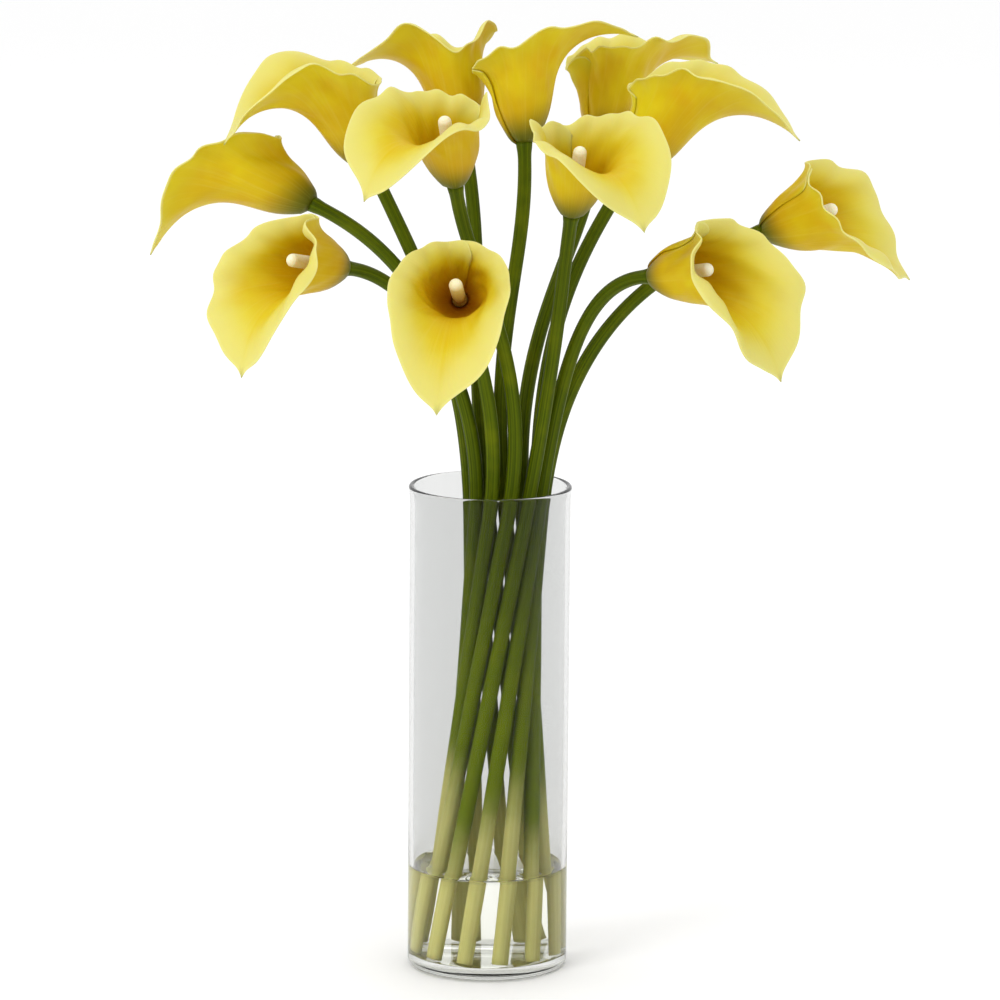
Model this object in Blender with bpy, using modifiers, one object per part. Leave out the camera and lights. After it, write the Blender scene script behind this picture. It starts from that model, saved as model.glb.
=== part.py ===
"""Twelve yellow calla lilies standing in a clear glass cylinder vase with a little water.

Metres, +Z up. The origin is the middle of the vase's underside, and -Y is the front.
Each lily is a stem, a spathe (the rolled petal-like leaf) and a spadix (the rod inside it).
The stems stand on the vase's floor and lean against one another as a twisted sheaf.
"""

import math
from typing import NamedTuple

import bmesh
import bpy
import numpy as np
from mathutils import Matrix, Vector

MM = 0.001
GAP = 0.3 * MM

# Vase
VASE_RADIUS = 41.5 * MM
VASE_HEIGHT = 254.0 * MM
VASE_WALL = 2.5 * MM
VASE_FLOOR = 7.0 * MM
LIP_FLARE = 0.6 * MM
LIP_DROP = 6.0 * MM
BASE_ROUNDING = 3.5 * MM
VASE_STEPS = 40

# Water
WATER_LEVEL = 52.0 * MM
WATER_RADIUS = VASE_RADIUS - VASE_WALL - 0.4 * MM

# Stems: straight in the vase, on the rulings of a waisted surface, then bent out to each head
FOOT_RADIUS = 4.1 * MM
NECK_RADIUS = 3.5 * MM
FOOT_HEIGHT = VASE_FLOOR + GAP + 0.7 * MM
WAIST_RADIUS = 17.0 * MM
WAIST_HEIGHT = 195.0 * MM
SHEAF_SLOPE = 0.155
SHEAF_LEAN = 0.034
BEND_HEIGHT = 238.0 * MM
NECK_STRAIGHT = 6.0 * MM
STRAIGHT_POINTS = 4
BENT_POINTS = 11

# Spathe: a leaf rolled past a full turn round the stem's end
SHEET = 1.1 * MM
COLLAR_RADIUS = 4.4 * MM
ROLLED_TURN = 400.0
LAP_OFFSET = 0.72 * MM
SHOULDER_ANGLE = 24.0
SHOULDER_LENGTH = 5.0 * MM
RIM_WIDTH = 24.0 * MM
TIP_SPREAD = 50.0
TIP_BLEND = 100.0
TIP_POINT = 4.0 * MM
CORNER_CUT = 8.0 * MM
SPATHE_COLUMNS = 20
SPATHE_ROWS = 7
SLOPE_SAMPLES = 24

# Spadix
SPADIX_LENGTH = 38.0 * MM
SPADIX_RADIUS = 3.1 * MM
SPADIX_STEPS = 8


class Lily(NamedTuple):
    """One flower: where its head is and how its spathe opens.

    Lengths run along the sheet from the neck and are in millimetres; angles are in degrees.
    """

    slot: float  # angle round the sheaf where the stem passes its waist
    neck: tuple  # where the stem ends and the spathe starts
    axis: tuple  # direction the spathe opens in
    tip: tuple  # side of the axis that the tip is on
    length: float = 92.0  # neck to tip
    side: float = 66.0  # neck to the rim at the flanks
    edge: float = 40.0  # neck to the rim at the lapped edges
    throat: float = 13.0  # cone angle of the tube
    recurve: float = 70.0  # how far the tip bends back
    bend: float = 0.28  # share of the length where that bend starts
    flare: float = 50.0  # how far the rim rolls out
    wave: float = 1.2  # height of the rim's waves
    phase: float = 0.0  # where those waves sit


LILIES = (
    Lily(160, (-93, 30, 395), (-0.85, 0.2, 0.4), (-0.5, -0.2, -1), 90, 67, 37),
    Lily(130, (-62, 20, 415), (-0.42, -0.06, 0.9), (-0.9, -0.1, -0.5), 90, 72, 44, recurve=104),
    Lily(100, (-16, 50, 430), (-0.2, 0.2, 1), (-1, -0.1, -0.2), 76, 57, 50, recurve=95, wave=2.5),
    Lily(250, (-19, -30, 414), (-0.14, -0.4, 0.9), (-0.75, -0.7, -0.5), 84, 55, 42,
         recurve=125, bend=0.18, flare=38),
    Lily(70, (16, 25, 428), (-0.04, 0.22, 1), (1, 0.1, -0.1), 88, 57, 46, recurve=85),
    Lily(40, (56, 75, 423), (0.17, 0.2, 0.95), (1, 0.4, -0.1), 82, 60, 44,
         recurve=80, flare=42, wave=3),
    Lily(10, (71, 15, 415), (0.46, -0.02, 0.75), (0.85, -0.1, -0.65), 94, 75, 44, recurve=80),
    Lily(280, (40, -35, 400), (0.1, -0.42, 0.9), (0.55, -0.85, -0.5), 88, 61, 46,
         recurve=116, bend=0.18, flare=32),
    Lily(340, (139, 20, 384), (0.85, -0.14, 0.3), (0.3, 0.4, -1), 78, 60, 40,
         throat=18, recurve=45),
    Lily(310, (81, -35, 369), (0.68, -0.62, 0.18), (0.45, -0.1, -1), 92, 70, 48),
    Lily(220, (-16, -60, 360), (-0.05, -0.95, 0.35), (-0.1, -0.3, -1), 106, 64, 36,
         recurve=80, flare=60),
    Lily(190, (-75, -35, 372), (-0.65, -0.7, 0.2), (-0.08, -0.15, -1), 92, 66, 36),
)


def clear_scene():
    for item in list(bpy.data.objects):
        bpy.data.objects.remove(item, do_unlink=True)


def new_collection(name):
    collection = bpy.data.collections.new(name)
    bpy.context.scene.collection.children.link(collection)
    return collection


def principled(name, colour, roughness, metallic=0.0, transmission=0.0):
    material = bpy.data.materials.new(name)
    material.use_nodes = True
    shader = material.node_tree.nodes["Principled BSDF"]
    shader.inputs["Base Color"].default_value = (*colour, 1.0)
    shader.inputs["Roughness"].default_value = roughness
    shader.inputs["Metallic"].default_value = metallic
    shader.inputs["Transmission Weight"].default_value = transmission
    material.diffuse_color = (*colour, 1.0)
    return material


def add_object(name, data, collection, material):
    item = bpy.data.objects.new(name, data)
    data.materials.append(material)
    collection.objects.link(item)
    return item


def mesh_from(bm, name):
    mesh = bpy.data.meshes.new(name)
    bm.to_mesh(mesh)
    bm.free()
    mesh.shade_smooth()
    return mesh


def turned(name, profile, steps, collection, material):
    """A closed solid turned about Z from an open profile whose ends lie on the axis."""
    mesh = bpy.data.meshes.new(name)
    edges = [(index, index + 1) for index in range(len(profile) - 1)]
    mesh.from_pydata([(radius, 0.0, height) for radius, height in profile], edges, [])
    item = add_object(name, mesh, collection, material)
    screw = item.modifiers.new("turn", "SCREW")
    screw.steps = steps
    screw.render_steps = steps
    screw.use_merge_vertices = True
    screw.merge_threshold = 0.00001
    return item


def arc(centre, radius, start, end, count):
    """Points of a round stretch of a profile, angles in degrees."""
    points = []
    for step in range(count + 1):
        angle = math.radians(start + (end - start) * step / count)
        points.append((centre[0] + radius * math.cos(angle), centre[1] + radius * math.sin(angle)))
    return points


def smooth_step(value):
    value = np.clip(value, 0.0, 1.0)
    return value * value * (3.0 - 2.0 * value)


def build_vase(collection):
    """Clear glass cylinder with a thick floor and a fire-polished lip."""
    glass = principled("clear_glass", (0.9, 0.93, 0.93), 0.03, transmission=1.0)
    inner = VASE_RADIUS - VASE_WALL
    rim_radius = VASE_WALL / 2
    rim_centre = (inner + rim_radius + LIP_FLARE, VASE_HEIGHT - rim_radius)
    base_centre = (VASE_RADIUS - BASE_ROUNDING, BASE_ROUNDING)
    profile = [(0.0, VASE_FLOOR), (inner, VASE_FLOOR), (inner, VASE_HEIGHT - LIP_DROP)]
    profile += arc(rim_centre, rim_radius, 180, 0, 6)
    profile.append((VASE_RADIUS, VASE_HEIGHT - LIP_DROP))
    profile += arc(base_centre, BASE_ROUNDING, 0, -90, 4)
    profile.append((0.0, 0.0))
    turned("vase", profile, VASE_STEPS, collection, glass)


def sheaf_point(lily, height):
    """Centre of a stem at a height in the vase: the waist's ruling at the lily's slot."""
    angle = math.radians(lily.slot)
    outward = Vector((math.cos(angle), math.sin(angle), 0.0))
    sideways = Vector((-math.sin(angle), math.cos(angle), 0.0))
    shift = SHEAF_SLOPE * (height - WAIST_HEIGHT)
    return outward * WAIST_RADIUS + sideways * shift + Vector((SHEAF_LEAN * height, 0.0, height))


def stem_route(lily):
    """Points up a stem: straight to the bend, then one curve into the neck's direction."""
    foot = sheaf_point(lily, FOOT_HEIGHT)
    start = sheaf_point(lily, BEND_HEIGHT)
    neck = Vector(lily.neck) * MM
    axis = Vector(lily.axis).normalized()
    end = neck - axis * NECK_STRAIGHT
    span = (end - start).length
    rise = (start - foot).normalized() * span * 0.5
    points = [foot.lerp(start, step / STRAIGHT_POINTS) for step in range(STRAIGHT_POINTS)]
    for step in range(BENT_POINTS + 1):
        t = step / BENT_POINTS
        low, high = start + rise, end - axis * span * 0.32
        a, b, c = start.lerp(low, t), low.lerp(high, t), high.lerp(end, t)
        points.append(a.lerp(b, t).lerp(b.lerp(c, t), t))
    points.append(neck - axis * GAP)
    return points


def build_stem(name, lily, collection, material):
    """A round solid stem, a little thinner at the neck than at its cut foot."""
    points = stem_route(lily)
    curve = bpy.data.curves.new(name, "CURVE")
    curve.dimensions = "3D"
    curve.bevel_depth = FOOT_RADIUS
    curve.bevel_resolution = 2
    curve.use_fill_caps = True
    spline = curve.splines.new("POLY")
    spline.points.add(len(points) - 1)
    for index, point in enumerate(points):
        share = point.z / points[-1].z
        spline.points[index].co = (*point, 1.0)
        spline.points[index].radius = 1.0 + (NECK_RADIUS / FOOT_RADIUS - 1.0) * share
    add_object(name, curve, collection, material)


def spathe_surface(lily, across, along):
    """Middle of the spathe's sheet, in metres, with the axis along +Z and the tip towards +X.

    across is -1 to 1 from lapped edge to lapped edge and along is 0 to 1 from neck to rim.
    The sheet leaves the neck as a cone, rolls out at the rim and bends back towards the tip.
    """
    length, side, edge = lily.length * MM, lily.side * MM, lily.edge * MM
    angle = np.sign(across) * np.abs(across) ** 1.35 * ROLLED_TURN / 2
    around = np.abs(angle)
    from_tip = np.minimum(around, 360.0 - around)
    reach = edge + (side - edge) * (1.0 - smooth_step((from_tip - 60.0) / 120.0))
    reach += (length - side) * np.clip(1.0 - around / TIP_BLEND, 0.0, 1.0) ** 1.3
    corner = CORNER_CUT * np.clip((around - 180.0) / (ROLLED_TURN / 2 - 180.0), 0.0, 1.0) ** 2
    distance = (reach - corner + TIP_POINT * np.exp(-around / 2.2)) * along

    tipness = np.exp(-((around / TIP_SPREAD) ** 2))[:, None]
    steps = (np.arange(SLOPE_SAMPLES) + 0.5) / SLOPE_SAMPLES
    walked = np.column_stack((distance[:, None] * steps, distance))
    bend_start = lily.bend * length
    bent = smooth_step((walked - bend_start) / (1.02 * length - bend_start))
    rolled = np.clip((walked - (reach[:, None] - RIM_WIDTH)) / RIM_WIDTH, 0.0, 1.2) ** 1.8
    slope = lily.throat + SHOULDER_ANGLE * np.exp(-walked / SHOULDER_LENGTH)
    slope = slope + tipness * lily.recurve * bent + (1.0 - tipness) * lily.flare * rolled
    slope = np.radians(slope)

    radius = COLLAR_RADIUS + distance * np.sin(slope[:, :-1]).mean(axis=1)
    height = distance * np.cos(slope[:, :-1]).mean(axis=1)
    turn = np.radians(angle)
    fade = smooth_step(around / 25.0) * (1.0 - smooth_step((around - 90.0) / 50.0))
    wave = lily.wave * MM * np.sin(3.0 * turn + lily.phase) * fade
    wave = wave * smooth_step((along - 0.45) / 0.55) ** 1.5
    lift = wave + LAP_OFFSET * np.sign(angle) * smooth_step((around - 110.0) / 60.0)
    radius = radius + lift * np.cos(slope[:, -1])
    height = height - lift * np.sin(slope[:, -1])
    return np.column_stack((radius * np.cos(turn), radius * np.sin(turn), height))


def head_matrix(lily):
    """Places a head: its axis along the lily's axis, its tip on the tip's side, at the neck."""
    axis = Vector(lily.axis).normalized()
    tip = Vector(lily.tip)
    tip = (tip - axis * tip.dot(axis)).normalized()
    turn = Matrix((tip, axis.cross(tip), axis)).transposed().to_4x4()
    return Matrix.Translation(Vector(lily.neck) * MM) @ turn


def build_spathe(name, lily, collection, material):
    """The rolled leaf: a grid laid on the spathe's surface and thickened both ways."""
    bm = bmesh.new()
    bmesh.ops.create_grid(bm, x_segments=SPATHE_COLUMNS, y_segments=SPATHE_ROWS, size=1.0)
    flat = np.array([vertex.co for vertex in bm.verts])
    places = spathe_surface(lily, flat[:, 0], (flat[:, 1] + 1.0) / 2)
    for vertex, place in zip(bm.verts, places):
        vertex.co = place
    item = add_object(name, mesh_from(bm, name), collection, material)
    item.matrix_world = head_matrix(lily)
    sheet = item.modifiers.new("sheet", "SOLIDIFY")
    sheet.thickness = SHEET
    sheet.offset = 0.0


def build_spadix(name, lily, collection, material):
    """The upright rod in the throat, on its stalk, with a rounded end."""
    stalk = 0.7 * SPADIX_RADIUS
    shoulder = SPADIX_LENGTH - SPADIX_RADIUS
    profile = arc((0.0, shoulder), SPADIX_RADIUS, 90, 0, 3)
    profile[0] = (0.0, SPADIX_LENGTH)
    profile += [(SPADIX_RADIUS, 0.4 * SPADIX_LENGTH), (stalk, 0.0), (0.0, 0.0)]
    item = turned(name, profile, SPADIX_STEPS, collection, material)
    item.matrix_world = head_matrix(lily)


def build_water(collection, cutters):
    """The water in the foot of the vase, with a hole for each stem."""
    water = principled("water", (0.88, 0.93, 0.9), 0.02, transmission=1.0)
    bottom = VASE_FLOOR + GAP
    depth = WATER_LEVEL - bottom
    bpy.ops.mesh.primitive_cylinder_add(
        vertices=VASE_STEPS, radius=WATER_RADIUS, depth=depth, location=(0, 0, bottom + depth / 2)
    )
    item = bpy.context.object
    item.name = "water"
    item.data.materials.append(water)
    move_to(item, collection)
    for lily in LILIES:
        low, high = sheaf_point(lily, 0.0), sheaf_point(lily, 2 * WATER_LEVEL)
        along = high - low
        bpy.ops.mesh.primitive_cylinder_add(
            vertices=12, radius=FOOT_RADIUS + 2 * GAP, depth=along.length, location=(low + high) / 2
        )
        cutter = bpy.context.object
        cutter.name = "stem_hole"
        cutter.rotation_euler = along.to_track_quat("Z", "Y").to_euler()
        cutter.hide_render = True
        cutter.display_type = "WIRE"
        move_to(cutter, cutters)
        hole = item.modifiers.new("hole", "BOOLEAN")
        hole.operation = "DIFFERENCE"
        hole.object = cutter


def move_to(item, collection):
    for owner in list(item.users_collection):
        owner.objects.unlink(item)
    collection.objects.link(item)


def build_lilies(collection):
    stem_green = principled("stem_green", (0.13, 0.2, 0.04), 0.45)
    petal_yellow = principled("petal_yellow", (0.85, 0.62, 0.05), 0.5)
    spadix_cream = principled("spadix_cream", (0.9, 0.83, 0.55), 0.7)
    for number, lily in enumerate(LILIES, start=1):
        build_stem(f"stem_{number:02d}", lily, collection, stem_green)
        build_spathe(f"spathe_{number:02d}", lily, collection, petal_yellow)
        build_spadix(f"spadix_{number:02d}", lily, collection, spadix_cream)


clear_scene()
lilies_in_a_vase = new_collection("lilies_in_a_vase")
cutting_tools = new_collection("cutters")
build_vase(lilies_in_a_vase)
build_lilies(lilies_in_a_vase)
build_water(lilies_in_a_vase, cutting_tools)
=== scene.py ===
import math
from typing import NamedTuple

import bmesh
import bpy
import numpy as np
from mathutils import Matrix, Vector


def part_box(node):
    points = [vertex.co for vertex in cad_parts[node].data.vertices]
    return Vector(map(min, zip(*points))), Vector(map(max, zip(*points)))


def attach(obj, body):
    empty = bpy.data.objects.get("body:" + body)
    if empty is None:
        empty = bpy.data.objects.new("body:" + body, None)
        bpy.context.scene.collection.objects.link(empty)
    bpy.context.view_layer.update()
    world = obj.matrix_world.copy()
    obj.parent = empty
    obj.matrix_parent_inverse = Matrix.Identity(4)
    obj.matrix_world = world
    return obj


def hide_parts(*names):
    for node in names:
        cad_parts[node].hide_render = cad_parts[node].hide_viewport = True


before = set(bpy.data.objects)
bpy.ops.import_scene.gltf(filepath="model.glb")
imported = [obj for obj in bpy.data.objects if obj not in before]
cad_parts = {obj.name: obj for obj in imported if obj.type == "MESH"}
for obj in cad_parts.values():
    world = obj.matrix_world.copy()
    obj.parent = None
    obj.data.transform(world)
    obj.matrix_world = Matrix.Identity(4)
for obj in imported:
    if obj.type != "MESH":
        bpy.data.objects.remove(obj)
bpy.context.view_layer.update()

vase_low, vase_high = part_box("vase")
water_low, water_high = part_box("water")

# ---------------------------------------------------------------- camera
# A long lens far in front of the vase and a little above the flowers, looking slightly down.
eye = Vector((0.005, -3.2, 0.866))
aim = Vector((0.005, 0.0, 0.246))
camera_roll = math.radians(0.45)
camera_data = bpy.data.cameras.new("camera")
camera_data.lens = 227.6
camera_data.sensor_width = 36.0
camera_data.clip_end = 60.0
camera = bpy.data.objects.new("camera", camera_data)
bpy.context.scene.collection.objects.link(camera)
camera.matrix_world = (
    Matrix.Translation(eye)
    @ (aim - eye).to_track_quat("-Z", "Y").to_matrix().to_4x4()
    @ Matrix.Rotation(camera_roll, 4, "Z")
)
bpy.context.scene.camera = camera
bpy.context.scene.view_settings.view_transform = "Standard"
# Light goes through many walls of glass and water before it reaches the stems at the back.
light_paths = bpy.context.scene.cycles
light_paths.max_bounces = 32
light_paths.transmission_bounces = 32


# ---------------------------------------------------------------- table and studio
# A plain white surface that runs out of sight. Its paint is the first material, so the
# small tools for writing materials are made here.
class Ink:
    """A shader socket that can be used in sums. Numbers and other sockets mix freely."""

    def __init__(self, tree, socket):
        self.tree = tree
        self.socket = socket

    def work_out(self, operation, *values):
        node = self.tree.nodes.new("ShaderNodeMath")
        node.operation = operation
        for place, value in enumerate(values):
            if isinstance(value, Ink):
                self.tree.links.new(value.socket, node.inputs[place])
            else:
                node.inputs[place].default_value = value
        return Ink(self.tree, node.outputs[0])

    def __add__(self, other):
        return self.work_out("ADD", self, other)

    def __sub__(self, other):
        return self.work_out("SUBTRACT", self, other)

    def __rsub__(self, other):
        return self.work_out("SUBTRACT", other, self)

    def __mul__(self, other):
        return self.work_out("MULTIPLY", self, other)

    def __truediv__(self, other):
        return self.work_out("DIVIDE", self, other)

    def __pow__(self, other):
        return self.work_out("POWER", self, other)

    def __abs__(self):
        return self.work_out("ABSOLUTE", self)

    __radd__ = __add__
    __rmul__ = __mul__

    def rise(self, start, end):
        """0 below start, 1 above end and smooth between; the other way round if end is lower."""
        share = (self - start) / (end - start)
        share = self.work_out("MINIMUM", self.work_out("MAXIMUM", share, 0.0), 1.0)
        return share * share * (3.0 - 2.0 * share)


class Finish:
    """A material on a Principled BSDF, and the one way to add any other node to it."""

    def __init__(self, name, **settings):
        self.material = bpy.data.materials.new(name)
        self.material.use_nodes = True
        self.tree = self.material.node_tree
        self.shader = self.tree.nodes["Principled BSDF"]
        for socket, value in settings.items():
            self.shader.inputs[socket.replace("_", " ")].default_value = value

    def node(self, kind, output=0, settings=None, **sockets):
        """A node of any kind. Sockets are named with _ for a space, or are i and a number."""
        made = self.tree.nodes.new("ShaderNode" + kind)
        for name, value in (settings or {}).items():
            setattr(made, name, value)
        for name, value in sockets.items():
            place = int(name[1:]) if name[1:].isdigit() else name.replace("_", " ")
            if isinstance(value, Ink):
                self.tree.links.new(value.socket, made.inputs[place])
            else:
                made.inputs[place].default_value = value
        return Ink(self.tree, made.outputs[output])

    def tint(self, share, first, second):
        """Colour that goes from first to second with the share."""
        colours = {"i6": first, "i7": second}
        for place, colour in colours.items():
            if not isinstance(colour, Ink):
                colours[place] = (*colour, 1.0)
        mixing = {"data_type": "RGBA"}
        return self.node("Mix", 2, mixing, i0=share, **colours)

    def feed(self, socket, value):
        self.tree.links.new(value.socket, self.shader.inputs[socket])


def scene_object(name, bm, *finishes, crease=math.pi):
    """Turns a bmesh into a smooth object at the origin, sharp at edges past the crease angle."""
    mesh = bpy.data.meshes.new(name)
    bm.to_mesh(mesh)
    bm.free()
    mesh.shade_smooth()
    mesh.set_sharp_from_angle(angle=crease)
    for finish in finishes:
        mesh.materials.append(finish.material)
    made = bpy.data.objects.new(name, mesh)
    bpy.context.scene.collection.objects.link(made)
    return made


table_half_width = 30.0
table_gap = 0.0002
white_paint = Finish("white_surface", Roughness=0.8, Specular_IOR_Level=0.1)
place = white_paint.node("TexCoord", "Object")
mottle = white_paint.node("TexNoise", Vector=place, Scale=0.8, Detail=2.0)
white = white_paint.tint(mottle, (0.975, 0.975, 0.975), (0.99, 0.99, 0.99))
white_paint.feed("Base Color", white)
bm = bmesh.new()
bmesh.ops.create_grid(bm, x_segments=8, y_segments=8, size=table_half_width)
bmesh.ops.translate(bm, verts=bm.verts[:], vec=(0, 0, -table_gap))
scene_object("table_surface", bm, white_paint)

flowers_middle = Vector((0.0, 0.0, 0.35))


def soft_light(name, place, size, power):
    """A square white area light that faces the middle of the flowers."""
    lamp = bpy.data.lights.new(name, "AREA")
    lamp.size = size
    lamp.energy = power
    made = bpy.data.objects.new(name, lamp)
    made.location = place
    toward = flowers_middle - Vector(place)
    made.rotation_euler = toward.to_track_quat("-Z", "Y").to_euler()
    bpy.context.scene.collection.objects.link(made)


soft_light("key_light", (-1.6, -1.5, 2.0), 1.0, 19.0)
soft_light("fill_light", (2.0, -1.8, 1.2), 1.6, 3.0)
soft_light("back_light", (0.4, 2.2, 2.2), 1.6, 6.0)
world = bpy.data.worlds.new("studio")
world.use_nodes = True
backdrop = world.node_tree.nodes["Background"]
backdrop.inputs["Color"].default_value = (1.0, 1.0, 1.0, 1.0)
backdrop.inputs["Strength"].default_value = 1.0
bpy.context.scene.world = world

# ---------------------------------------------------------------- vase
# A clear machine-made glass cylinder: thin wall, thick floor with a rounded outer corner,
# and a lip melted round by a flame, which leaves it a little fuller than the wall.
vase_height = vase_high.z
lip_radius = (vase_high.x - vase_low.x) / 2
lip_flare = 0.0006
lip_half = 0.00128
lip_drop = 0.007
wall = 0.0025
vase_radius = lip_radius - lip_flare
inner_radius = vase_radius - wall
water_gap = 0.0003
floor_top = water_low.z - water_gap
inner_rounding = 0.0008
base_rounding = 0.0035
low_ring, high_ring = 0.08, 0.16
hollow_underside = [(0.0335, 0.0005), (0.024, 0.0009), (0.012, 0.0011), (0.0, 0.0012)]
foot_ring = 0.0355
steps_round = 256
glass_crease = math.radians(35)

clear_glass = Finish(
    "clear_glass", Roughness=0.0, IOR=1.5, Transmission_Weight=1.0,
    Specular_Tint=(0.15, 0.15, 0.15, 1.0),
)
place = clear_glass.node("TexCoord", "Object")
height = clear_glass.node("SeparateXYZ", "Z", Vector=place)
# Painted shade: above the water line the glass is tinted grey, in place of the darker look that the
# empty glass has in its surroundings; below it the glass is nearly clear.
painted_shade_above_water = height.rise(water_high.z - 0.001, water_high.z + 0.002)
body_glass = clear_glass.tint(painted_shade_above_water, (0.955, 0.96, 0.94), (0.76, 0.765, 0.76))
thick_floor = height.rise(0.0085, 0.004)
body_glass = clear_glass.tint(thick_floor, body_glass, (0.60, 0.61, 0.58))
# The lip darkens where it is seen edge-on: partly the deeper tint of the long path through the
# glass, partly painted shade for the darker surroundings it reflects.
slant = clear_glass.node("LayerWeight", "Facing", Blend=0.5)
at_lip = height.rise(vase_height - 0.001, vase_height - 0.004)
edge_on_tint_and_shade = slant.rise(0.74, 0.96) * at_lip
clear_glass.feed("Base Color", clear_glass.tint(edge_on_tint_and_shade, body_glass, (0.38, 0.39, 0.38)))
haze = clear_glass.node("TexNoise", Vector=place, Scale=60.0, Detail=3.0)
clear_glass.feed("Roughness", haze.rise(0.55, 0.8) * 0.02)


def arc(centre, radius, start, end, count):
    """Points of a round stretch of a turned profile, angles in degrees."""
    angles = [math.radians(start + (end - start) * step / count) for step in range(count + 1)]
    return [
        (centre[0] + radius * math.cos(angle), centre[1] + radius * math.sin(angle))
        for angle in angles
    ]


def turn(bm, profile, steps):
    """Spins a profile of (radius, height) points right round Z."""
    points = [bm.verts.new((radius, 0.0, height)) for radius, height in profile]
    edges = [bm.edges.new(pair) for pair in zip(points, points[1:])]
    bmesh.ops.spin(
        bm, geom=points + edges, cent=(0, 0, 0), axis=(0, 0, 1), angle=math.tau, steps=steps,
        use_merge=True,
    )
    bmesh.ops.remove_doubles(bm, verts=bm.verts[:], dist=1e-6)
    bmesh.ops.recalc_face_normals(bm, faces=bm.faces[:])


bm = bmesh.new()
profile = [(0.0, floor_top), (0.012, floor_top), (0.026, floor_top)]
profile += arc(
    (inner_radius - inner_rounding, floor_top + inner_rounding), inner_rounding, -90, 0, 4
)
profile += [(inner_radius, low_ring), (inner_radius, high_ring)]
profile += [(inner_radius, vase_height - lip_drop)]
profile += arc((lip_radius - lip_half, vase_height - lip_half), lip_half, 190, -10, 12)
profile += [(vase_radius, vase_height - lip_drop)]
profile += [(vase_radius, high_ring), (vase_radius, low_ring)]
profile += arc((vase_radius - base_rounding, base_rounding), base_rounding, 0, -90, 8)
profile += [(foot_ring, 0.0)] + hollow_underside
turn(bm, profile, steps_round)
vase = scene_object("glass_vase", bm, clear_glass, crease=glass_crease)
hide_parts("vase")
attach(vase, "root")
vase.visible_shadow = False

# ---------------------------------------------------------------- stems
# Smooth round calla stems with fine long ridges. They are olive green, and pale where they
# stood in the dark of the bunch and the water. Each is straight in the vase, on a twisted
# sheaf, and bends out to its head. The sheaf is settled here, since the water meets it.
foot_radius = 0.0041
neck_radius = 0.0035
waist_radius = 0.017
waist_height = 0.195
sheaf_slope = 0.155
sheaf_lean = 0.034
bend_height = 0.238
neck_straight = 0.006
neck_overlap = 0.0006
foot_height = floor_top + 0.0010
straight_steps = 24
bent_steps = 60
# Where each stem stands round the sheaf, in degrees.
stem_slots = (160, 130, 100, 250, 70, 40, 10, 280, 340, 310, 220, 190)
# Height at which each stem turns from pale to green, in millimetres.
green_starts = (90, 84, 78, 96, 72, 88, 66, 61, 92, 80, 104, 86)
stem_ridges = 22.0


def sheaf_point(slot, height):
    """Centre of a stem at a height in the vase."""
    angle = math.radians(slot)
    outward = Vector((math.cos(angle), math.sin(angle), 0.0))
    sideways = Vector((-math.sin(angle), math.cos(angle), 0.0))
    shift = sheaf_slope * (height - waist_height)
    lean = Vector((sheaf_lean * height, 0.0, height))
    return outward * waist_radius + sideways * shift + lean


def head_of(number):
    """Neck and direction of a head, from its spadix, which is turned about the head's axis."""
    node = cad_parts[f"spadix_{number:02d}"]
    points = np.unique(np.round([tuple(v.co) for v in node.data.vertices], 6), axis=0)
    middle = points.mean(axis=0)
    axis = np.linalg.svd(points - middle)[2][0]
    along = (points - middle) @ axis
    if (along > along.max() - 1e-4).sum() > (along < along.min() + 1e-4).sum():
        axis, along = -axis, -along
    return Vector(middle + axis * along.min()), Vector(axis)


def stem_route(slot, neck, axis, count):
    """Points up a stem and the distance of each from the foot."""
    foot, start = sheaf_point(slot, foot_height), sheaf_point(slot, bend_height)
    end = neck - axis * neck_straight
    span = (end - start).length
    low = start + (start - foot).normalized() * span * 0.5
    high = end - axis * span * 0.32
    points = [foot.lerp(start, step / straight_steps) for step in range(straight_steps)]
    for step in range(bent_steps + 1):
        t = step / bent_steps
        a, b, c = start.lerp(low, t), low.lerp(high, t), high.lerp(end, t)
        points.append(a.lerp(b, t).lerp(b.lerp(c, t), t))
    points.append(neck + axis * neck_overlap)
    points = np.array([tuple(point) for point in points])
    steps = np.linalg.norm(np.diff(points, axis=0), axis=1)
    walked = np.concatenate(([0.0], np.cumsum(steps)))
    wanted = np.linspace(0.0, walked[-1], count)
    return np.column_stack([np.interp(wanted, walked, points[:, k]) for k in range(3)]), wanted


def tube(bm, centres, radii, around):
    """A grid rolled round a route. Radii may change round it; ends of no radius close it."""
    bm.loops.layers.uv.new("UVMap")
    rows = len(centres) - 1
    bmesh.ops.create_grid(bm, x_segments=around, y_segments=rows, size=1.0, calc_uvs=True)
    steps = np.arange(len(centres))
    ahead = centres[np.minimum(steps + 2, rows)] - centres[np.maximum(steps - 2, 0)]
    ahead /= np.linalg.norm(ahead, axis=1)[:, None]
    side = np.cross(ahead[0], (0.0, 1.0, 0.0))
    sides = []
    for direction in ahead:
        side = side - direction * (side @ direction)
        side = side / np.linalg.norm(side)
        sides.append(side)
    sides = np.array(sides)
    others = np.cross(ahead, sides)
    for vertex in bm.verts:
        column = round((vertex.co.x + 1.0) / 2 * around)
        row = round((vertex.co.y + 1.0) / 2 * rows)
        angle = math.tau * column / around
        out = sides[row] * math.cos(angle) + others[row] * math.sin(angle)
        vertex.co = centres[row] + out * radii[row][column % around]
    bmesh.ops.remove_doubles(bm, verts=bm.verts[:], dist=1e-7)


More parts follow.
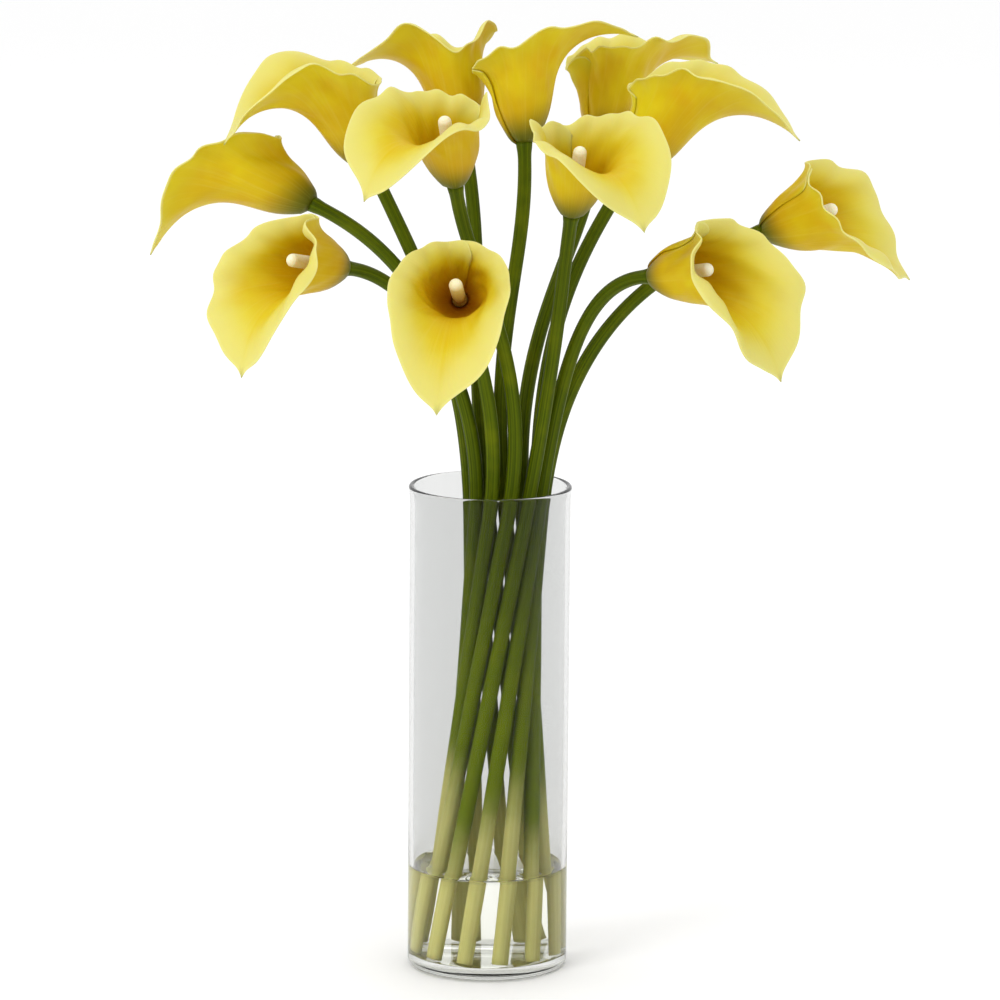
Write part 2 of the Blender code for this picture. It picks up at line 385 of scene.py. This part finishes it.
stem_skin = Finish(
    "stem_green", Roughness=0.42, Subsurface_Weight=0.08, Subsurface_Scale=0.002,
    Specular_IOR_Level=0.06,
)
place = stem_skin.node("TexCoord", "Object")
height = stem_skin.node("SeparateXYZ", "Z", Vector=place)
round_it = stem_skin.node("TexCoord", "UV")
turned_by = stem_skin.node("SeparateXYZ", "X", Vector=round_it)
streak_place = stem_skin.node("Mapping", Vector=round_it, Scale=(18.0, 2.2, 1.0))
streaks = stem_skin.node("TexNoise", Vector=streak_place, Scale=1.0, Detail=3.0)
blotches = stem_skin.node("TexNoise", Vector=place, Scale=38.0, Detail=3.0)
streaked = streaks.rise(0.3, 0.75)
green = stem_skin.tint(streaked, (0.04, 0.062, 0.0005), (0.105, 0.145, 0.001))
green = stem_skin.tint(blotches.rise(0.45, 0.75) * 0.5, green, (0.16, 0.19, 0.001))
green = stem_skin.tint(height.rise(0.27, 0.09) * 0.7, green, (0.20, 0.27, 0.001))
pale = stem_skin.tint(streaked, (0.64, 0.60, 0.19), (0.74, 0.71, 0.27))
green_from = stem_skin.node("Attribute", "Fac", {"attribute_name": "green_from"})
green_share = (height - green_from + (blotches - 0.5) * 0.03).rise(-0.016, 0.024)
stem_skin.feed("Base Color", stem_skin.tint(green_share, pale, green))
ridge = stem_skin.node("Math", settings={"operation": "SINE"}, i0=turned_by * math.tau * stem_ridges)
ridge_bump = stem_skin.node(
    "Bump", Height=ridge * 0.3 + streaks * 0.8, Strength=0.1, Distance=0.0002
)
stem_skin.feed("Normal", ridge_bump)
stem_skin.feed("Roughness", 0.36 + streaks * 0.14)

stem_rows = 150
stem_sides = 32
neck_swell = 0.0009
neck_swell_length = 0.0045
unevenness = 0.015
cut_bevel = 0.93
for number, slot in enumerate(stem_slots, start=1):
    neck, axis = head_of(number)
    centres, walked = stem_route(slot, neck, axis, stem_rows)
    centres = np.vstack((centres[:1], centres[:1], centres, centres[-1:]))
    share = walked / walked[-1]
    radii = foot_radius + (neck_radius - foot_radius) * share
    radii = radii + neck_swell * np.exp(-((walked[-1] - walked) / neck_swell_length) ** 2)
    radii = radii * (1.0 + unevenness * np.sin(walked * 95.0 + number * 1.7))
    radii = np.concatenate(([0.0, foot_radius * cut_bevel], radii, [0.0]))
    centres[2] = centres[2] + (centres[3] - centres[2]) * 0.08
    angles = np.arange(stem_sides) / stem_sides * math.tau
    lobes = 1.0 + 0.018 * np.cos(3.0 * angles + number)[None, :]
    bm = bmesh.new()
    tube(bm, centres, radii[:, None] * lobes, stem_sides)
    stem = scene_object(f"flower_stem_{number:02d}", bm, stem_skin)
    start = stem.data.attributes.new("green_from", "FLOAT", "POINT")
    start.data.foreach_set("value", [green_starts[number - 1] / 1000] * len(stem.data.vertices))
    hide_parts(f"stem_{number:02d}")
    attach(stem, "root")

# ---------------------------------------------------------------- water
# Still clear water. It climbs the glass and each stem by about a millimetre, as water does.
# Its side lies a hair inside the glass wall, so that light passes from one into the other.
clear_water = Finish(
    "clear_water", Base_Color=(0.99, 0.992, 0.965, 1.0), Roughness=0.0, IOR=1.333,
    Transmission_Weight=1.0, Specular_Tint=(0.6, 0.6, 0.6, 1.0),
)
place = clear_water.node("TexCoord", "Object")
ripple = clear_water.node("TexNoise", Vector=place, Scale=110.0, Detail=1.0)
still = clear_water.node("Bump", Height=ripple, Strength=0.04, Distance=0.0005)
clear_water.feed("Normal", still)

into_glass = 0.00006
water_radius = inner_radius + into_glass
water_rings = 56
glass_climb = 0.0016
glass_climb_width = 0.0016
stem_climb = 0.0011
stem_climb_width = 0.0013
most_climb = 0.0019
profile = [(water_radius * ring / water_rings, water_high.z) for ring in range(water_rings + 1)]
profile += [(water_radius, floor_top + inner_rounding)]
profile += arc(
    (inner_radius - inner_rounding, floor_top + inner_rounding), inner_rounding + into_glass,
    0, -90, 4,
)
profile += [(0.02, floor_top - into_glass), (0.0, floor_top - into_glass)]
bm = bmesh.new()
turn(bm, profile, steps_round)
stem_places = [sheaf_point(slot, water_high.z) for slot in stem_slots]
for vertex in bm.verts:
    if vertex.co.z > water_high.z - 1e-5:
        from_glass = water_radius - vertex.co.xy.length
        climb = glass_climb * math.exp(-from_glass / glass_climb_width)
        for stem_place in stem_places:
            from_stem = (vertex.co.xy - stem_place.xy).length - foot_radius
            climb += stem_climb * math.exp(-max(from_stem, 0.0) / stem_climb_width)
        vertex.co.z += min(climb, most_climb)
water = scene_object("vase_water", bm, clear_water, crease=glass_crease)
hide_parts("water")
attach(water, "root")
water.visible_shadow = False

# ---------------------------------------------------------------- spathes
# The yellow leaf that wraps each spadix: waxy, about a millimetre thick and thinner at the
# rim, rolled past a full turn so that its edges lap. Veins run from the neck to the tip.
collar_radius = 0.0044
sheet_half = 0.00055
rim_thinning = 0.00017
thinned_width = 0.03
rolled_turn = 400.0
lap_gap = 0.00006
corner_cut = 0.008
tip_point = 0.004
tip_spread = 50.0
rim_width = 0.024
curl_width = 0.007
curl_angle = 34.0
shoulder_angle = 30.0
shoulder_length = 0.006
slope_samples = 40
neck_tuck = 0.0016
neck_sink = 0.0009
neck_taper = 0.003


class Spathe(NamedTuple):
    """Lengths are in millimetres along the sheet from the neck, and angles in degrees."""

    length: float  # to the tip
    side: float  # to the rim at the sides
    edge: float  # to the rim at the lap
    throat: float  # slope of the wall away from the head's axis
    recurve: float  # how far the tip bends out
    bend: float  # share of the length at which the tip starts to bend
    flare: float  # how far the sides roll out
    wave: float  # height of the rim's waves
    phase: float  # where the waves start, in radians
    tip_side: tuple  # direction in which the tip lies from the head's axis
    flaps: tuple  # (where round the throat, how wide, how much longer, how far rolled out)


spathes = (
    Spathe(90, 67, 37, 13, 70, 0.28, 50, 1.8, 0.4, (-0.5, -0.2, -1.0), ((120, 18, 4, 20),)),
    Spathe(90, 72, 44, 13, 104, 0.28, 50, 2.6, 1.3, (-0.9, -0.1, -0.5), ((60, 24, 3, 25),)),
    Spathe(
        76, 57, 50, 13, 95, 0.28, 50, 2.5, 2.2, (-1.0, -0.1, -0.2),
        ((158, 40, 8, 8), (96, 24, -4, 30)),
    ),
    Spathe(
        84, 55, 42, 13, 125, 0.18, 38, 1.2, 0.0, (-0.75, -0.7, -0.5),
        ((142, 17, 8, -20), (78, 26, 2, 55)),
    ),
    Spathe(88, 57, 46, 13, 85, 0.28, 50, 2.0, 4.0, (1.0, 0.1, -0.1), ((-150, 20, 4, 25),)),
    Spathe(
        82, 60, 44, 13, 80, 0.28, 42, 3.4, 0.0, (1.0, 0.4, -0.1),
        ((-120, 16, 5, 30), (-60, 14, 4, 35)),
    ),
    Spathe(94, 75, 44, 13, 80, 0.28, 50, 1.8, 5.2, (0.85, -0.1, -0.65), ((-70, 30, 3, 20),)),
    Spathe(
        88, 61, 46, 13, 116, 0.18, 32, 1.2, 0.0, (0.55, -0.85, -0.5),
        ((-126, 10, 6, 10), (-70, 22, 0, 45)),
    ),
    Spathe(
        78, 60, 40, 18, 45, 0.28, 50, 2.2, 1.0, (0.3, 0.4, -1.0),
        ((-60, 20, 3, 30), (70, 18, 4, 25)),
    ),
    Spathe(
        92, 70, 48, 13, 70, 0.28, 50, 1.8, 2.0, (0.45, -0.1, -1.0),
        ((-138, 16, 8, -10), (-80, 24, 0, 40)),
    ),
    Spathe(
        106, 64, 36, 13, 80, 0.28, 60, 1.6, 3.1, (-0.1, -0.3, -1.0),
        ((-78, 12, 6, 0), (72, 30, 4, -30)),
    ),
    Spathe(
        92, 66, 36, 13, 70, 0.28, 50, 1.8, 4.4, (-0.08, -0.15, -1.0),
        ((140, 14, 9, -10), (75, 20, 0, 50)),
    ),
)


def smooth_step(value):
    """0 to 1 with a smooth start and end."""
    value = np.clip(value, 0.0, 1.0)
    return value * value * (3.0 - 2.0 * value)


def half_thickness(to_rim):
    """Half the sheet's thickness, which falls toward the rim."""
    return sheet_half - rim_thinning * smooth_step(1.0 - to_rim / thinned_width)


def rim_reach(shape, angle):
    """Length of the sheet from neck to rim, and how far the flaps roll out, at each angle."""
    length, side, edge = shape.length / 1000, shape.side / 1000, shape.edge / 1000
    around = np.abs(angle)
    from_tip = np.minimum(around, 360.0 - around)
    reach = edge + (side - edge) * (1.0 - smooth_step((from_tip - 60.0) / 120.0))
    reach += (length - side) * np.clip(1.0 - around / 100.0, 0.0, 1.0) ** 1.3
    roll_out = np.zeros_like(angle)
    for where, width, longer, rolled in shape.flaps:
        swell = np.exp(-((((angle - where + 180.0) % 360.0 - 180.0) / width) ** 2))
        reach = reach + longer / 1000 * swell
        roll_out = roll_out + rolled * swell
    heading = np.radians(angle)
    reach = reach + 0.0009 * np.sin(8.0 * heading + 3.0 * shape.phase)
    return reach + 0.0006 * np.sin(13.0 * heading + shape.phase), roll_out


def sheet_slope(shape, angle, reach, roll_out, walked):
    """Slope away from the head's axis, in radians, at each distance walked from the neck."""
    tipness = np.exp(-((np.abs(angle) / tip_spread) ** 2))[..., None]
    length, rim = shape.length / 1000, reach[..., None]
    bend_start = shape.bend * length
    bent = smooth_step((walked - bend_start) / (1.02 * length - bend_start))
    rolled = np.clip((walked - (rim - rim_width)) / rim_width, 0.0, 1.2) ** 1.8
    curled = np.clip((walked - (rim - curl_width)) / curl_width, 0.0, 1.2) ** 2
    uneven = (0.6 + 0.4 * np.sin(5.0 * np.radians(angle) + 1.7 * shape.phase))[..., None]
    slope = shape.throat + shoulder_angle * np.exp(-walked / shoulder_length)
    slope = slope + 9.0 * np.exp(-(((walked - 0.011) / 0.008) ** 2))
    slope = slope - 4.0 * np.exp(-(((walked - 0.034) / 0.014) ** 2))
    slope = slope + tipness * shape.recurve * bent + (1.0 - tipness) * shape.flare * rolled
    slope = slope + roll_out[..., None] * rolled
    slope = slope + curl_angle * (1.0 - 0.7 * tipness) * uneven * curled
    return np.radians(slope)


def sheet_lift(shape, angle, along, distance):
    """How far waves, ripples, puckers and the lap lift the sheet off its smooth form."""
    around, heading, phase = np.abs(angle), np.radians(angle), shape.phase
    fade = smooth_step(around / 25.0)
    waves = np.sin(3.0 * heading + phase) + 0.45 * np.sin(5.0 * heading + 2.6 * phase)
    lift = shape.wave / 1000 * waves * fade * smooth_step((along - 0.35) / 0.65) ** 1.5
    ripples = np.sin(7.0 * heading + 2.0 * phase) + 0.6 * np.sin(11.0 * heading + phase)
    lift = lift + 0.0005 * ripples * fade * smooth_step((along - 0.6) / 0.4)
    puckers = np.sin(9.0 * heading + 260.0 * distance + 2.0 * phase)
    lift = lift + 0.00035 * puckers * fade * smooth_step((along - 0.15) / 0.3)
    beside = half_thickness(distance[:, :1] - distance) + lap_gap
    return lift + beside * np.sign(angle) * smooth_step((around - 110.0) / 60.0)


def sheet_middle(shape, across, along):
    """Middle of a spathe's sheet over a table of across (-1 to 1) and along (0 to 1) places."""
    angle = np.sign(across) * np.abs(across) ** 1.35 * rolled_turn / 2
    around = np.abs(angle)
    reach, roll_out = rim_reach(shape, angle)
    past_turn = np.clip((around - 180.0) / (rolled_turn / 2 - 180.0), 0.0, 1.0)
    corner = corner_cut * past_turn**2
    distance = (reach - corner + tip_point * np.exp(-around / 2.2)) * along
    samples = (np.arange(slope_samples) + 0.5) / slope_samples
    walked = np.concatenate((distance[..., None] * samples, distance[..., None]), axis=-1)
    slope = sheet_slope(shape, angle, reach, roll_out, walked)
    tucked = np.exp(-distance / 0.0009)
    radius = collar_radius - neck_tuck * tucked
    radius = radius + distance * np.sin(slope[..., :-1]).mean(axis=-1)
    height = distance * np.cos(slope[..., :-1]).mean(axis=-1) - neck_sink * tucked
    lift = sheet_lift(shape, angle, along, distance)
    radius = radius + lift * np.cos(slope[..., -1])
    height = height - lift * np.sin(slope[..., -1])
    heading = np.radians(angle)
    return np.stack((radius * np.cos(heading), radius * np.sin(heading), height), axis=-1), distance


petal = Finish(
    "petal_yellow", Roughness=0.5, Subsurface_Weight=0.18, Subsurface_Scale=0.003,
    Subsurface_Radius=(1.0, 0.6, 0.05), Specular_IOR_Level=0.16,
)
laid = petal.node("TexCoord", "UV")
crosswise = petal.node("SeparateXYZ", "X", Vector=laid)
lengthwise = petal.node("SeparateXYZ", "Y", Vector=laid)
inside = lengthwise.rise(0.497, 0.503)
from_rim = abs(2.0 * lengthwise - 1.0) ** 2.2
from_midrib = abs(2.0 * crosswise - 1.0)
place = petal.node("TexCoord", "Object")
clouds = petal.node("TexNoise", Vector=place, Scale=28.0, Detail=3.0, Roughness=0.55)
vein_place = petal.node("Mapping", Vector=laid, Scale=(85.0, 3.0, 1.0))
veins = petal.node("TexNoise", Vector=vein_place, Scale=1.0, Detail=2.0)
patches = petal.node("TexNoise", Vector=place, Scale=52.0, Detail=2.0)
outer = petal.tint(clouds.rise(0.35, 0.68), (0.60, 0.41, 0.0005), (0.67, 0.54, 0.002))
outer = petal.tint(patches.rise(0.55, 0.75) * 0.4, outer, (0.60, 0.33, 0.0005))
outer = petal.tint(from_rim.rise(0.34, 0.0) * 0.6, outer, (0.68, 0.60, 0.02))
outer = petal.tint(from_rim.rise(0.35, 0.85) * 0.55, outer, (0.54, 0.29, 0.0005))
outer = petal.tint(from_rim.rise(0.62, 0.97), outer, (0.11, 0.115, 0.001))
inner = petal.tint(clouds.rise(0.35, 0.68), (0.64, 0.50, 0.003), (0.68, 0.59, 0.03))
inner = petal.tint(patches.rise(0.55, 0.75) * 0.35, inner, (0.64, 0.44, 0.001))
inner = petal.tint(from_rim.rise(0.34, 0.0) * 0.9, inner, (0.68, 0.63, 0.18))
inner = petal.tint(from_rim.rise(0.14, 0.62), inner, (0.64, 0.41, 0.0005))
inner = petal.tint(from_rim.rise(0.6, 0.95), inner, (0.50, 0.22, 0.002))
colour = petal.tint(inside, outer, inner)
colour = petal.tint(veins.rise(0.45, 0.8) * 0.14, colour, (0.70, 0.62, 0.12))
colour = petal.tint(from_rim.rise(0.028, 0.0) * 0.75, colour, (0.72, 0.68, 0.24))
point = from_midrib.rise(0.035, 0.0) * from_rim.rise(0.06, 0.0)
colour = petal.tint(point * 0.7, colour, (0.36, 0.36, 0.10))
petal.feed("Base Color", colour)
petal.feed("Roughness", 0.4 + clouds * 0.16)
raised = petal.node("Bump", Height=veins + clouds * 0.6, Strength=0.3, Distance=0.0006)
petal.feed("Normal", raised)

spathe_columns = 128
spathe_rows = 44
for number, shape in enumerate(spathes, start=1):
    neck, axis = head_of(number)
    tip = Vector(shape.tip_side)
    tip = (tip - axis * tip.dot(axis)).normalized()
    stand = Matrix((tip, axis.cross(tip), axis)).transposed()

    across = np.linspace(-1.0, 1.0, spathe_columns + 1)[:, None]
    along = 1.0 - (np.arange(spathe_rows + 1) / spathe_rows)[None, :] ** 2.2
    across, along = np.broadcast_arrays(across, along)
    middle, distance = sheet_middle(shape, across, along)
    down = np.gradient(middle, axis=1)
    over = np.gradient(middle, axis=0)
    normal = np.cross(down, over)
    normal /= np.maximum(np.linalg.norm(normal, axis=-1), 1e-12)[..., None]
    outward = np.stack((middle[..., 0], middle[..., 1], np.zeros_like(across)), axis=-1)
    normal *= np.sign((normal * outward).sum(axis=-1).mean())

    to_rim = distance[:, :1] - distance
    step_in = np.linalg.norm(middle - middle[:1], axis=-1)
    step_out = np.linalg.norm(middle - middle[-1:], axis=-1)
    half = half_thickness(to_rim)
    round_rim = np.sqrt(1.0 - (1.0 - np.clip(to_rim / half, 0.0, 1.0)) ** 2)
    lap = np.where(across > 0, step_out, step_in)
    lap = np.where(np.abs(across) > 0.8, lap, 1.0)
    round_lap = np.sqrt(1.0 - (1.0 - np.clip(lap / half, 0.0, 1.0)) ** 2)
    at_neck = np.clip(distance / neck_taper, 0.0, 1.0)
    offset = (half * round_rim * round_lap * at_neck)[..., None] * normal

    bm = bmesh.new()
    bm.loops.layers.uv.new("UVMap")
    bmesh.ops.create_grid(
        bm, x_segments=spathe_columns, y_segments=2 * spathe_rows, size=1.0, calc_uvs=True
    )
    for vertex in bm.verts:
        column = round((vertex.co.x + 1.0) / 2 * spathe_columns)
        row = round(vertex.co.y * spathe_rows)
        sign = 1.0 if row < 0 else -1.0
        spot = middle[column, abs(row)] + sign * offset[column, abs(row)]
        vertex.co = stand @ Vector(spot) + neck
    bmesh.ops.remove_doubles(bm, verts=bm.verts[:], dist=2e-6)
    # At a corner of the sheet both sides hold the same three points, so each is cut from there.
    for corner in [vertex for vertex in bm.verts if len(vertex.link_faces) == 2]:
        for loop in corner.link_loops[:]:
            bmesh.utils.face_split(loop.face, corner, loop.link_loop_next.link_loop_next.vert)
    spathe = scene_object(f"petal_{number:02d}", bm, petal)
    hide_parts(f"spathe_{number:02d}")
    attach(spathe, "root")

# ---------------------------------------------------------------- spadices
# The cream rod in each throat, covered with tiny crowded florets that shed pale pollen.
spadix_length = 0.040
spadix_radius = 0.0034
spadix_foot = 0.0007
root_flange = 0.0021
floret_pitch = 0.00135
florets_round = 14.0
pollen = Finish("spadix_cream", Roughness=0.75, Subsurface_Weight=0.15, Subsurface_Scale=0.002)
place = pollen.node("TexCoord", "Object")
grains = pollen.node("TexVoronoi", Vector=place, Scale=1400.0)
dust = pollen.node("TexNoise", Vector=place, Scale=160.0, Detail=3.0)
cream = pollen.tint(dust.rise(0.35, 0.7), (0.90, 0.84, 0.56), (0.95, 0.93, 0.76))
rooted = pollen.node("SeparateXYZ", "Y", Vector=pollen.node("TexCoord", "UV"))
cream = pollen.tint(rooted.rise(0.14, 0.02), cream, (0.50, 0.30, 0.03))
cream = pollen.tint(grains.rise(0.4, 0.8) * 0.22, cream, (0.74, 0.60, 0.26))
pollen.feed("Base Color", cream)
pollen.feed("Normal", pollen.node("Bump", Height=1.0 - grains, Strength=0.5, Distance=0.0002))

floret_rows = 108
floret_sides = 56
for number in range(1, len(spathes) + 1):
    neck, axis = head_of(number)
    share = np.linspace(0.0, 1.0, floret_rows)
    walked = spadix_length * (1.0 - (1.0 - share) ** 1.5)
    centres = np.array([tuple(neck + axis * float(height + spadix_foot)) for height in walked])
    centres[:2] = centres[0]
    body = spadix_radius * (0.7 + 0.3 * smooth_step(walked / 0.015))
    body = body + root_flange * np.exp(-((walked / 0.0016) ** 2))
    cap = np.clip((walked - (spadix_length - spadix_radius)) / spadix_radius, 0.0, 1.0)
    radii = body * np.sqrt(1.0 - cap**2)
    radii[0] = 0.0
    angles = np.arange(floret_sides) / floret_sides * math.tau
    turns = florets_round * angles[None, :]
    rise = walked[:, None] / floret_pitch * math.pi
    bumps = 0.5 + 0.5 * np.cos(turns + rise) * np.cos(turns - rise)
    bumps = bumps * smooth_step((walked[:, None] - 0.006) / 0.006)
    bm = bmesh.new()
    tube(bm, centres, radii[:, None] * (0.97 + 0.05 * bumps), floret_sides)
    spadix = scene_object(f"pollen_rod_{number:02d}", bm, pollen)
    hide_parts(f"spadix_{number:02d}")
    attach(spadix, "root")
